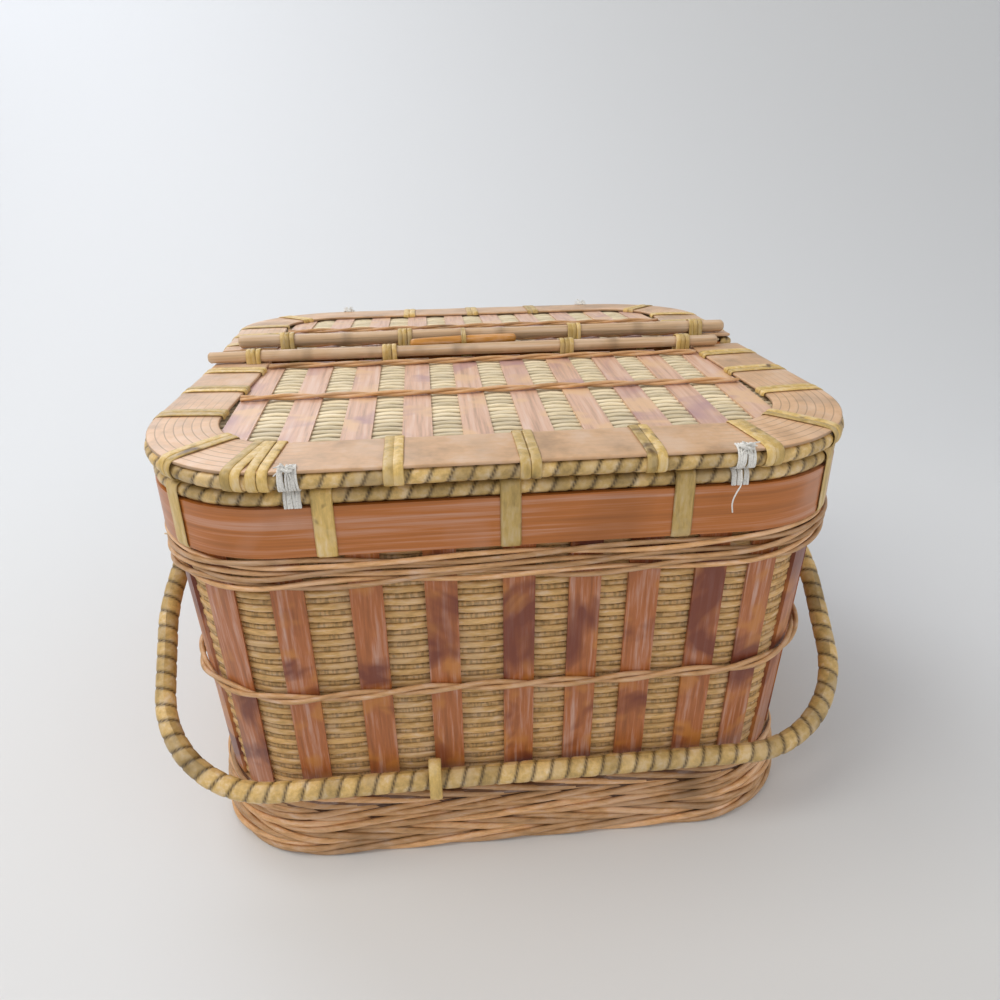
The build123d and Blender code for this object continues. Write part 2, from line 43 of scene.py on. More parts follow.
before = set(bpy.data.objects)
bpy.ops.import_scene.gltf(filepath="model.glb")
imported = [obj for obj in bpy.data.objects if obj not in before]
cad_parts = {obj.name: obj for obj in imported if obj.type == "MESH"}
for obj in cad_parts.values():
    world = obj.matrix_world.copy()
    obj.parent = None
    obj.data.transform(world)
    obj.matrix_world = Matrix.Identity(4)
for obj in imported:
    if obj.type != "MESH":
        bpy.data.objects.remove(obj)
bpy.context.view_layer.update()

# Lengths are in millimetres until a piece is finished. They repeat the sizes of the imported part.
FOOT_Z, HOOP_Z, WALL_TOP_Z = 6.0, 186.0, 209.5
WALL_LOW, WALL_TOP, WALL_CORNER = (158.5, 155.5), (163.0, 164.5), 60.0
FRONT_SLATS = (-136.0, -104.0, -69.0, -35.0, 1.0, 32.0, 60.0, 92.0, 118.0)
CORNER_SLATS = ((-1, -1, 63), (1, -1, 44), (1, -1, 72), (1, 1, 57), (-1, 1, 57))
SLAT_PITCH, SLAT_REACH = 32.0, 2.1
MID_TWINE_Z, UPPER_TWINE_Z = 106.0, (170.9, 176.2, 181.5)
RIM_OUT = (168.0, 169.5, 65.0)
RIM_CANE_Z, CANE_RADIUS = 213.2, 3.5
LID_FRONT_Y, LID_INNER_Y, LID_CORNER = -173.0, -8.0, 68.0
LID_HALF_CENTRE, LID_HALF_FRONT, LID_TOP_Z = 160.0, 174.0, 228.0
BAND_WIDTH, LID_CANE_Z, PANEL_INSET = 32.0, 222.35, 5.8
HINGE_Y, HINGE_Z = 175.6, 217.8
FRONT_RISE, REAR_RISE = 2.0, 3.0
STRING_PLACES = (-95.0, 98.0)
RIM_TIES, LID_SIDE_TIES = (-83, -3, 74), (76, 113, 147)
FRONT_LID_TIES, REAR_LID_TIES = (-118, -107, -52, 5, 59, 111), (-50, -2, 48)
LID_TWINE_DEPTHS, SPLINT_PITCH = (96.0, 153.0), 28
FOOT_RING, FOOT_ROWS, FOOT_REACH = (159.55, 157.3, 60.3), 5, 10.2
STICK_HALF, STICK_TIES = 152, (-137.0, -58.0, 49.0, 121.0)
PEG_MIDDLE, PEG_TURN, PEG_HALF = (-13.0, -1.5, 240.0), 5.5, 31.3
PIVOT, BAR = (178.0, 12.0, 158.0), (167.5, 51.0)
HANDLE_WIDE, HANDLE_SHOULDER, HANDLE_BAR_HALF, WRAP_START = 190, 105, 180, 16.0
KEEPER_X = -43.0
# The photograph's camera: place in metres, yaw and pitch in degrees, roll in radians
CAMERA_PLACE, CAMERA_YAW, CAMERA_PITCH, CAMERA_ROLL = (-0.03546, -0.46205, 0.3432), 5.401, 24.654, -0.0140
CAMERA_LENS = 27.04


def linear(code):
    """Linear colour with alpha from an sRGB hex value."""
    parts = [int(code[i:i + 2], 16) / 255 for i in (1, 3, 5)]
    return tuple(c / 12.92 if c <= 0.04045 else ((c + 0.055) / 1.055) ** 2.4 for c in parts) + (1.0,)


def colour_setting(name, description, code):
    """Colour property with its default as an sRGB hex value."""
    return FloatVectorProperty(name=name, description=description, subtype="COLOR", size=4, min=0, max=1,
                               default=linear(code))


class BasketSizes(bpy.types.PropertyGroup):
    """Sizes of the weave and the wrapping, in millimetres."""
    weft_pitch: FloatProperty(name="Weft pitch", description="Height of one weft row of the wall, mm",
                              default=3.45, min=2, max=9)
    lid_weft_pitch: FloatProperty(name="Lid weft pitch", description="Spacing of the wefts of the lid, mm",
                                  default=5.3, min=3, max=9)
    wrap_turn: FloatProperty(name="Wrapping turn", description="Length of one turn of the cane wrapping, mm",
                             default=8.8, min=4, max=20)
    twine_lay: FloatProperty(name="Twine lay", description="Length in which two twined strands cross twice, mm",
                             default=66.0, min=20, max=150)
    string_ends: IntProperty(name="String ends", description="Cotton threads side by side in one hinge loop",
                             default=6, min=3, max=10)
    seed: IntProperty(name="Seed", description="Chooses the small differences between strands", default=7)


class BasketColours(bpy.types.PropertyGroup):
    """Main colour of each finish."""
    slat: colour_setting("Slats", "Red-brown stained bamboo of the wall", "#b0693a")
    slat_dark: colour_setting("Slat stain", "Dark wine-brown patches of the stain", "#6f3426")
    splint: colour_setting("Lid splints", "Stained bamboo of the lid, paler and pinker", "#dcb296")
    splint_dark: colour_setting("Lid splint stain", "Mauve patches of the lid splints", "#b48d8e")
    weft: colour_setting("Wall wefts", "Straw tan of the fine weave", "#cfa568")
    lid_weft: colour_setting("Lid wefts", "Cream of the lid's weave", "#ead8b2")
    twine: colour_setting("Twine", "Pinkish brown cane strands", "#cf9f6c")
    rim_band: colour_setting("Rim band", "Orange-brown split bamboo", "#b66c2e")
    lid_band: colour_setting("Lid band", "Pale pinkish tan split bamboo", "#d8ae84")
    wrap: colour_setting("Wrapping", "Golden rattan strip", "#cba968")
    tie: colour_setting("Ties", "Straw-gold flat rattan", "#cfae66")
    cane: colour_setting("Cane", "Bare round cane", "#b48f5c")
    stick: colour_setting("Sticks", "Peeled pale sticks", "#d2b08a")
    peg: colour_setting("Peg", "Orange-yellow bamboo peg", "#cf8f3c")
    cotton: colour_setting("Cotton", "Loose white cotton string", "#eceae4")
    gap: colour_setting("Gaps", "Shaded gaps between turns and strands", "#3a2812")


# Lines and bars


def unit(vectors):
    """Vectors with a length of one."""
    vectors = np.asarray(vectors, float)
    return vectors / np.linalg.norm(vectors, axis=-1, keepdims=True)


def rounded_line(corners, radii, step):
    """Even points along a line of straight runs with rounded corners, and its length."""
    corners = [np.array(c, float) for c in corners]
    dense = [corners[0]]
    for before, here, after, radius in zip(corners, corners[1:], corners[2:], radii):
        into, out = unit(before - here), unit(after - here)
        half = 0.5 * math.acos(float(np.clip(into @ out, -1, 1)))
        centre = here + unit(into + out) * radius / math.sin(half)
        run = radius / math.tan(half)
        first, last = here + into * run - centre, here + out * run - centre
        turn = math.pi - 2 * half
        for share in np.linspace(0, 1, 33):
            spot = math.sin((1 - share) * turn) * first + math.sin(share * turn) * last
            dense.append(centre + spot / math.sin(turn))
    dense = np.array(dense + [corners[-1]])
    run = np.r_[0, np.cumsum(np.linalg.norm(np.diff(dense, axis=0), axis=1))]
    even = np.linspace(0, run[-1], max(3, round(run[-1] / step)) + 1)
    return np.stack([np.interp(even, run, dense[:, k]) for k in range(3)], 1), run[-1]


def ring_line(half_x, half_y, corner, z, step):
    """Even points round the basket from the middle of the back, and the length round."""
    corners = [(0, half_y, z), (-half_x, half_y, z), (-half_x, -half_y, z), (half_x, -half_y, z),
               (half_x, half_y, z), (0, half_y, z)]
    return rounded_line(corners, [corner] * 4, step)


def wall_ring(z, proud, step):
    """Line round the wall at height z, moved out by proud."""
    share = min(1, (z - FOOT_Z) / (HOOP_Z - FOOT_Z))
    half_x, half_y = (low + share * (top - low) + proud for low, top in zip(WALL_LOW, WALL_TOP))
    return ring_line(half_x, half_y, WALL_CORNER + proud, z, step)


def headings(points, closed):
    """Direction of a line at each of its points."""
    before = points[-2:-1] if closed else 2 * points[:1] - points[1:2]
    after = points[1:2] if closed else 2 * points[-1:] - points[-2:-1]
    padded = np.vstack([before, points, after])
    return unit(padded[2:] - padded[:-2])


def strand_of(points, closed, up, out, turns, phase):
    """Line that winds round another, up high and out wide."""
    heading = headings(points, closed)
    outward = unit(np.cross(heading, (0, 0, 1)))
    angle = np.linspace(0, 2 * math.pi * turns, len(points)) + phase
    return points + np.outer(np.sin(angle) * up, (0, 0, 1)) + outward * (np.cos(angle) * out)[:, None]


def new_shape():
    """Empty bmesh that keeps a tone for each strand, a gap shade and the place across a strip."""
    shape = bmesh.new()
    for layer in ("tone", "gap", "across"):
        shape.verts.layers.float.new(layer)
    return shape


def add_bar(shape, points, across, wide, thick, sides=6, closed=False, tone=0.5, gap=0.0, swell=1.0, square=1.0,
            blunt=False):
    """Bends a grid into a closed bar along a line: half size wide along across, thick at right angles to it."""
    points = np.asarray(points, float)
    count = len(points)
    heading = headings(points, closed)
    across = np.broadcast_to(np.asarray(across, float), points.shape)
    wing = unit(across - np.sum(across * heading, 1, keepdims=True) * heading)
    rise = np.cross(heading, wing)
    order, scale, shift = np.arange(count), np.ones(count), np.zeros(count)
    if not closed:
        order = np.r_[0, 0, order, count - 1, count - 1]
        scale = np.r_[0, 0.97 if blunt else 0.7, scale, 0.97 if blunt else 0.7, 0]
        shift = np.r_[-0.05 if blunt else -0.5, -0.04 if blunt else -0.35, shift,
                      0.04 if blunt else 0.35, 0.05 if blunt else 0.5]
    angle = np.linspace(0, 2 * math.pi, sides + 1)
    cos, sin = np.cos(angle), np.sin(angle)
    cos, sin = np.sign(cos) * np.abs(cos) ** square, np.sign(sin) * np.abs(sin) ** square
    size = (count, sides + 1)
    swell = (np.broadcast_to(swell, size))[order] * scale[:, None]
    tones, gaps = np.broadcast_to(tone, size)[order], np.broadcast_to(gap, size)[order]
    middle = points[order] + heading[order] * (shift * thick)[:, None]
    place = (middle[:, None, :] + wing[order][:, None, :] * (wide * swell * cos)[:, :, None]
             + rise[order][:, None, :] * (thick * swell * sin)[:, :, None])
    rows = len(order) - 1
    made = bmesh.ops.create_grid(shape, x_segments=rows, y_segments=sides, size=0.5)["verts"]
    floats = shape.verts.layers.float
    tone_layer, gap_layer, across_layer = floats["tone"], floats["gap"], floats["across"]
    for vert in made:
        i, j = round((vert.co.x + 0.5) * rows), round((vert.co.y + 0.5) * sides)
        vert.co = place[i, j]
        vert[tone_layer] = tones[i, j]
        vert[gap_layer] = gaps[i, j]
        vert[across_layer] = cos[j]
    bmesh.ops.remove_doubles(shape, verts=made, dist=0.002)


def add_wrapped_bar(shape, points, length, across, radius, turn, sides, closed, chance):
    """Bar with a strip wound round it, each turn a little different from the last, with painted shade in the grooves
    between turns.
    """
    turns = round(length / turn)
    run = np.linspace(0, turns, len(points))[:, None]
    phase = run + np.linspace(0, 1, sides + 1)[None, :]
    part = phase - np.floor(phase)
    off_mm = np.minimum(part, 1 - part) * length / turns
    groove = np.exp(-(off_mm / 0.8) ** 2)
    tones = np.array([chance.random() for _ in range(turns + 3)])
    which = np.floor(phase).astype(int)
    if closed:
        which = which % turns
    # The gap attribute darkens the grooves between turns: painted shade
    add_bar(shape, points, across, radius, radius, sides, closed, tone=tones[which], gap=groove,
            swell=1.0 - 0.09 * groove + 0.035 * (tones[which] - 0.5))


def smoothed(points, rounds=2):
    """Open line with its corners cut, as a stiff strip bends."""
    for _ in range(rounds):
        near = 0.75 * points[:-1] + 0.25 * points[1:]
        far = 0.25 * points[:-1] + 0.75 * points[1:]
        points = np.vstack([points[:1], np.stack([near, far], 1).reshape(-1, 3), points[-1:]])
    return points


def add_strap(shape, origin, inward, profile, width, strips, thick, chance, jitter=0.0):
    """Flat lashing of side-by-side strips whose bent shape runs inward and up from an origin."""
    inward = unit((inward[0], inward[1], 0))
    side = np.cross(inward, (0, 0, 1))
    line = smoothed(np.array([np.array((origin[0], origin[1], 0)) + inward * a + np.array((0, 0, z))
                              for a, z in profile]))
    for k in range(strips):
        off = (k - (strips - 1) / 2) * width / strips
        lean = np.linspace(chance.uniform(-jitter, jitter), chance.uniform(-jitter, jitter), len(line))
        add_bar(shape, line + side * (off + lean)[:, None], side, 0.51 * width / strips, thick, 8,
                tone=chance.random(), square=0.7)


def finish_piece(name, shape, material, body, nodes=(), place=None):
    """Writes the bmesh to an object in metres, in place, and ties it to its body."""
    bmesh.ops.scale(shape, vec=(0.001, 0.001, 0.001), verts=shape.verts)
    if place is not None:
        bmesh.ops.transform(shape, matrix=place, verts=shape.verts)
    bmesh.ops.recalc_face_normals(shape, faces=shape.faces)
    for face in shape.faces:
        face.smooth = True
    mesh = bpy.data.meshes.new(name)
    shape.to_mesh(mesh)
    shape.free()
    mesh.materials.append(material)
    piece = bpy.data.objects.new(name, mesh)
    bpy.context.scene.collection.objects.link(piece)
    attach(piece, body)
    if nodes:
        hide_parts(*nodes)
    return piece


def settings_of(context):
    """The scene's sizes and all finishes."""
    return context.scene.basket_sizes, basket_materials(context.scene.basket_colours)


def paint_nodes(material, *names):
    """Gives CAD nodes a material."""
    for name in names:
        node_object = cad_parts[name]
        node_object.data.materials.clear()
        node_object.data.materials.append(material)


# Materials


def add_node(tree, kind, inputs=None, stops=None, **settings):
    """Adds a shader node with its settings, its input values or links, and the stops of a colour ramp."""
    made = tree.nodes.new("ShaderNode" + kind)
    for key, value in settings.items():
        setattr(made, key, value)
    for socket, value in (inputs or {}).items():
        if isinstance(value, bpy.types.NodeSocket):
            tree.links.new(value, made.inputs[socket])
        else:
            made.inputs[socket].default_value = value
    if stops:
        ramp = made.color_ramp
        while len(ramp.elements) < len(stops):
            ramp.elements.new(0.5)
        for element, (position, colour) in zip(ramp.elements, stops):
            element.position = position
            element.color = colour
    return made


def darker(colour, share):
    """Colour taken towards black."""
    return tuple(c * share for c in colour[:3]) + (1.0,)


def paler(colour, share):
    """Colour taken towards white."""
    return tuple(c + (1 - c) * share for c in colour[:3]) + (1.0,)


def split_fibre(name, base, stain=None, grain=(60, 60, 900), patch=22.0, stain_range=(0.5, 0.68), rough=0.42,
                relief=0.25, stranded=False, laminated=0.0, gap=None, spread=0.35, highlight_patch=None, nick_shade=False):
    """Split bamboo or cane: fine grain along the strip, soft stain patches and shaded gaps.

    The grain is in cycles to the metre along each axis, low along the fibre.
    """
    name += "_finish"
    if name in bpy.data.materials:
        return bpy.data.materials[name]
    material = bpy.data.materials.new(name)
    material.use_nodes = True
    tree = material.node_tree
    tree.nodes.clear()
    place = add_node(tree, "TexCoord").outputs["Object"]
    stretched = add_node(tree, "Mapping", {"Vector": place, "Scale": grain}).outputs[0]
    fibres = add_node(tree, "TexNoise", {"Vector": stretched, "Scale": 1.0, "Detail": 4.0,
                                         "Roughness": 0.65}).outputs["Fac"]
    body = add_node(tree, "ValToRGB", {"Fac": fibres},
                    stops=[(0.28, darker(base, 0.62)), (0.5, base), (0.72, paler(base, 0.22))]).outputs[0]
    clouds = add_node(tree, "TexNoise", {"Vector": place, "Scale": patch, "Detail": 3.0,
                                         "Roughness": 0.55, "Distortion": 0.6}).outputs["Fac"]
    # Paler clouds: faint freckles in every finish; with a highlight colour given, painted highlight patches
    light_clouds = add_node(tree, "TexNoise", {"Vector": place, "Scale": patch * 2.3, "Detail": 2.0}).outputs["Fac"]
    freckle_and_highlight = add_node(tree, "MapRange", {"Value": light_clouds, "From Min": 0.53, "From Max": 0.64,
                                          "To Max": 0.75 if highlight_patch else 0.4}).outputs[0]
    colour = add_node(tree, "Mix", {0: freckle_and_highlight, 6: body, 7: highlight_patch or paler(base, 0.16)}, data_type="RGBA").outputs[2]
    if stain is not None:
        amount = add_node(tree, "MapRange", {"Value": clouds, "From Min": stain_range[0],
                                             "From Max": stain_range[1], "To Max": 0.88}).outputs[0]
        colour = add_node(tree, "Mix", {0: amount, 6: colour, 7: stain}, data_type="RGBA").outputs[2]
    height = fibres
    if stranded:
        tone = add_node(tree, "Attribute", attribute_name="tone").outputs["Fac"]
        value = add_node(tree, "MapRange", {"Value": tone, "To Min": 1 - spread, "To Max": 1 + spread}).outputs[0]
        colour = add_node(tree, "HueSaturation", {"Value": value, "Color": colour}).outputs[0]
        shade = add_node(tree, "Attribute", attribute_name="gap").outputs["Fac"]
        if nick_shade:
            # Painted shade in nicks across the strand, 1.5 mm apart
            narrow = add_node(tree, "Mapping", {"Vector": place, "Scale": (650, 650, 110)}).outputs[0]
            nick_dashes = add_node(tree, "TexNoise", {"Vector": narrow, "Scale": 1.0, "Detail": 1.0}).outputs["Fac"]
            depth = add_node(tree, "MapRange", {"Value": nick_dashes, "From Min": 0.46, "From Max": 0.6,
                                                "To Min": 0.15}).outputs[0]
            shade = add_node(tree, "Math", {0: shade, 1: depth}, operation="MULTIPLY").outputs[0]
        colour = add_node(tree, "Mix", {0: shade, 6: colour, 7: gap or darker(base, 0.15)},
                          data_type="RGBA").outputs[2]
    if laminated:
        across = add_node(tree, "Attribute", attribute_name="across").outputs["Fac"]
        lines = add_node(tree, "Math", {0: across, 1: laminated}, operation="MULTIPLY").outputs[0]
        tooth = add_node(tree, "Math", {0: lines, 1: 1.0}, operation="PINGPONG").outputs[0]
        crease = add_node(tree, "MapRange", {"Value": tooth, "From Max": 0.2, "To Min": 1.0,
                                             "To Max": 0.0}).outputs[0]
        # Creases between the strips, darkened as painted shade and lowered in the bump
        crease_shade_and_relief = add_node(tree, "Math", {0: crease, 1: tone}, operation="MULTIPLY").outputs[0]
        colour = add_node(tree, "Mix", {0: crease_shade_and_relief, 6: colour, 7: darker(base, 0.42)}, data_type="RGBA").outputs[2]
        height = add_node(tree, "Math", {0: fibres, 1: crease_shade_and_relief}, operation="SUBTRACT").outputs[0]
    bump = add_node(tree, "Bump", {"Height": height, "Strength": relief, "Distance": 0.0006}).outputs[0]
    gloss = add_node(tree, "MapRange", {"Value": fibres, "To Min": rough - 0.08, "To Max": rough + 0.16}).outputs[0]
    surface = add_node(tree, "BsdfPrincipled", {"Base Color": colour, "Roughness": gloss, "Normal": bump, "IOR": 1.5})
    add_node(tree, "OutputMaterial", {"Surface": surface.outputs[0]})
    return material


def basket_materials(colours):
    """All finishes by name."""
    gap = tuple(colours.gap)
    return {
        # Bamboo slats, split and stained: glossy skin, wine-brown clouds, paler clouds of painted highlight, grain up
        # the slat
        "slat": split_fibre("stained_bamboo_slat", tuple(colours.slat), tuple(colours.slat_dark), (420, 420, 9),
                            24.0, (0.52, 0.64), 0.34, 0.2, highlight_patch=linear("#c27f3c")),
        # The lid's splints, the same bamboo bleached by light, with paler clouds of painted highlight: grain from
        # front to back
        "splint": split_fibre("faded_bamboo_splint", tuple(colours.splint), tuple(colours.splint_dark),
                              (420, 9, 420), 22.0, (0.52, 0.68), 0.33, 0.2, highlight_patch=linear("#e4bc90")),
        # Half-round wefts of unstained bamboo: matt, dusty, grain round the wall
        "weft": split_fibre("fine_bamboo_weft", tuple(colours.weft), None, (130, 130, 700), 30.0, rough=0.55,
                            relief=0.5, stranded=True, gap=gap, spread=0.16, nick_shade=True),
        "lid_weft": split_fibre("cream_bamboo_weft", tuple(colours.lid_weft), None, (60, 900, 300), 30.0,
                                rough=0.5, relief=0.5, stranded=True, gap=gap, spread=0.16),
        # Twined cane: thin round strands with a satin skin
        "twine": split_fibre("twined_cane", tuple(colours.twine), darker(colours.twine, 0.45), (90, 90, 600), 14.0,
                             (0.58, 0.72), 0.42, 0.4, stranded=True, gap=gap, spread=0.25),
        # Split bamboo band at the rim: lacquered skin with long straight streaks
        "rim_band": split_fibre("orange_bamboo_band", tuple(colours.rim_band), darker(colours.rim_band, 0.55),
                                (5, 5, 260), 9.0, (0.55, 0.8), 0.3, 0.1),
        # The lid's broad band, laminated from narrow strips that part at the corners, with painted shade in the
        # creases between strips
        "lid_band": split_fibre("pale_bamboo_band", tuple(colours.lid_band), darker(colours.lid_band, 0.62),
                                (40, 40, 40), 15.0, (0.56, 0.72), 0.36, 0.25, stranded=True, laminated=8.0,
                                gap=gap, spread=0.1),
        # Rattan strip, wound: glossy golden skin, painted shade lines between the turns
        "wrap": split_fibre("wound_rattan_strip", tuple(colours.wrap), darker(colours.wrap, 0.5), (200, 200, 200),
                            28.0, (0.58, 0.74), 0.38, 0.2, stranded=True, gap=gap, spread=0.26),
        # Flat rattan lashing: the same strip, with rubbed brown spots
        "tie": split_fibre("flat_rattan_tie", tuple(colours.tie), linear("#5a3d20"), (260, 260, 60), 60.0,
                           (0.62, 0.72), 0.4, 0.35, stranded=True, gap=gap, spread=0.2),
        "cane": split_fibre("round_cane", tuple(colours.cane), darker(colours.cane, 0.5), (120, 120, 120), 30.0,
                            rough=0.5, relief=0.3),
        # Peeled stick: pale wood with long grain across the basket
        "stick": split_fibre("peeled_stick", tuple(colours.stick), darker(colours.stick, 0.55), (12, 500, 500), 25.0,
                             (0.6, 0.75), 0.45, 0.35, stranded=True, gap=gap, spread=0.15),
        "peg": split_fibre("bamboo_peg", tuple(colours.peg), darker(colours.peg, 0.5), (14, 600, 600), 40.0,
                           (0.58, 0.72), 0.36, 0.3, stranded=True, gap=gap, spread=0.15),
        # Cotton string: loose matt fluff
        "cotton": split_fibre("cotton_string", tuple(colours.cotton), darker(colours.cotton, 0.8),
                              (1500, 1500, 1500), 80.0, (0.55, 0.7), 0.9, 0.8, stranded=True,
                              gap=linear("#9c988e"), spread=0.08),
        # Base and the inside of the foot: the same cane in shade
        "shade": split_fibre("shaded_cane", linear("#6b4526"), None, (90, 90, 600), 20.0, rough=0.7, relief=0.3),
    }


# The two lid flaps are drawn flat at the front, then tilted, the rear one turned round first


def lid_place(side):
    """Matrix that takes the flat front flap to its place on one side, in metres."""
    sign = -1 if side == "front" else 1
    hinge = Vector((0, sign * HINGE_Y * 0.001, HINGE_Z * 0.001))
    angle = FRONT_RISE if side == "front" else -REAR_RISE
    tilt = Matrix.Translation(hinge) @ Matrix.Rotation(math.radians(angle), 4, "X") @ Matrix.Translation(-hinge)
    return tilt if side == "front" else tilt @ Matrix.Rotation(math.pi, 4, "Z")


def lid_outline(inset, z, step):
    """Line round the three outer sides of a flap, moved in by inset."""
    slope = (LID_HALF_FRONT - LID_HALF_CENTRE) / (LID_INNER_Y - LID_FRONT_Y)
    lean = inset * math.sqrt(1 + slope ** 2)
    low = LID_FRONT_Y + inset
    near = LID_HALF_CENTRE - lean
    far = LID_HALF_CENTRE + slope * (LID_INNER_Y - low) - lean
    corners = [(-near, LID_INNER_Y, z), (-far, low, z), (far, low, z), (near, LID_INNER_Y, z)]
    return rounded_line(corners, [LID_CORNER - inset] * 2, step)


def lid_edge_at(outline, x=None, y=None, side=1):
    """Point on the outline at x along the front, or at y on one side, and the way inward there."""
    if x is not None:
        front = np.where(outline[:, 1] < -100, np.abs(outline[:, 0] - x), 1e9)
        index = int(np.argmin(front))
    else:
        sides = np.where(outline[:, 0] * side > 100, np.abs(outline[:, 1] - y), 1e9)
        index = int(np.argmin(sides))
    heading = headings(outline, False)[index]
    return outline[index], np.cross((0, 0, 1), heading)


def lid_tie_spots(outline, front):
    """Places of the flat ties round one flap."""
    spots = [lid_edge_at(outline, x=x) for x in front]
    spots += [lid_edge_at(outline, y=LID_FRONT_Y + d, side=s) for d in LID_SIDE_TIES for s in (-1, 1)]
    for s in (-1, 1):
        target = np.array((s, -1.0)) / math.sqrt(2)
        score = [h[1] * target[0] - h[0] * target[1] for h in headings(outline, False)]
        index = int(np.argmax(score))
        spots.append((outline[index], np.cross((0, 0, 1), headings(outline, False)[index])))
    return spots


class BasketStage(bpy.types.Operator):
    """Pale floor, soft studio light and the camera at the photograph's angle"""
    bl_idname = "basket.stage"
    bl_label = "Stage"

    def execute(self, context):
        scene = context.scene
        scene.view_settings.view_transform = "Standard"
        floor_shape = bmesh.new()
        corners = [floor_shape.verts.new((-8, y, z)) for y, z in ((-6, 0), (1.6, 0), (1.6, 5))]
        edges = [floor_shape.edges.new(pair) for pair in zip(corners, corners[1:])]
        swept = bmesh.ops.extrude_edge_only(floor_shape, edges=edges)["geom"]
        far = [part for part in swept if isinstance(part, bmesh.types.BMVert)]
        bmesh.ops.translate(floor_shape, verts=far, vec=(16, 0, 0))
        fold = [e for e in floor_shape.edges if all(abs(v.co.y - 1.6) + abs(v.co.z) < 1e-6 for v in e.verts)]
        bmesh.ops.bevel(floor_shape, geom=fold, offset=1.2, segments=24, profile=0.5, affect="EDGES", material=-1)
        bmesh.ops.recalc_face_normals(floor_shape, faces=floor_shape.faces)
        for face in floor_shape.faces:
            face.smooth = True
        mesh = bpy.data.meshes.new("floor")
        floor_shape.to_mesh(mesh)
        floor_shape.free()
        floor = bpy.data.objects.new("floor", mesh)
        scene.collection.objects.link(floor)
        paper = bpy.data.materials.new("matt_paper_floor")
        paper.use_nodes = True
        sheet = paper.node_tree.nodes["Principled BSDF"]
        sheet.inputs["Base Color"].default_value = linear("#dfe0e0")
        sheet.inputs["Roughness"].default_value = 0.9
        mesh.materials.append(paper)

        world = bpy.data.worlds.new("studio")
        world.use_nodes = True
        tree = world.node_tree
        tree.nodes.clear()
        seen = add_node(tree, "LightPath").outputs["Is Camera Ray"]
        soft = add_node(tree, "Background", {"Color": linear("#f4f6fa"), "Strength": 0.6}).outputs[0]
        pale = add_node(tree, "Background", {"Color": linear("#e6e8ea"), "Strength": 1.0}).outputs[0]
        both = add_node(tree, "MixShader", {0: seen, 1: soft, 2: pale}).outputs[0]
        add_node(tree, "OutputWorld", {"Surface": both})
        scene.world = world

        for name, spot, aim, energy, size, tint in (
            ("key", (-1.0, -0.3, 1.5), (0, 0, 0.1), 14.0, 1.1, "#fffaf2"),
            ("window", (-0.7, 1.3, 1.3), (0, 0, 0.2), 12.0, 1.2, "#e9f0ff"),
            ("fill", (1.2, -1.5, 0.8), (0, 0, 0.1), 6.0, 1.4, "#fff4e6"),
        ):
            light = bpy.data.lights.new(name, "AREA")
            light.energy = energy
            light.size = size
            light.color = linear(tint)[:3]
            lamp = bpy.data.objects.new(name, light)
            direction = Vector(aim) - Vector(spot)
            lamp.location = spot
            lamp.rotation_euler = direction.to_track_quat("-Z", "Y").to_euler()
            scene.collection.objects.link(lamp)

        yaw, pitch, roll = math.radians(CAMERA_YAW), math.radians(CAMERA_PITCH), CAMERA_ROLL
        ahead = Vector((math.sin(yaw) * math.cos(pitch), math.cos(yaw) * math.cos(pitch), -math.sin(pitch)))
        right = Vector((math.cos(yaw), -math.sin(yaw), 0))
        up = right.cross(ahead)
        right, up = right * math.cos(roll) + up * math.sin(roll), up * math.cos(roll) - right * math.sin(roll)
        lens = bpy.data.cameras.new("camera")
        lens.lens = CAMERA_LENS
        lens.sensor_width = 36.0
        lens.clip_start = 0.01
        camera = bpy.data.objects.new("camera", lens)
        turn = Matrix((right, up, -ahead)).transposed().to_4x4()
        camera.matrix_world = Matrix.Translation(CAMERA_PLACE) @ turn
        scene.collection.objects.link(camera)
        scene.camera = camera
        return {"FINISHED"}


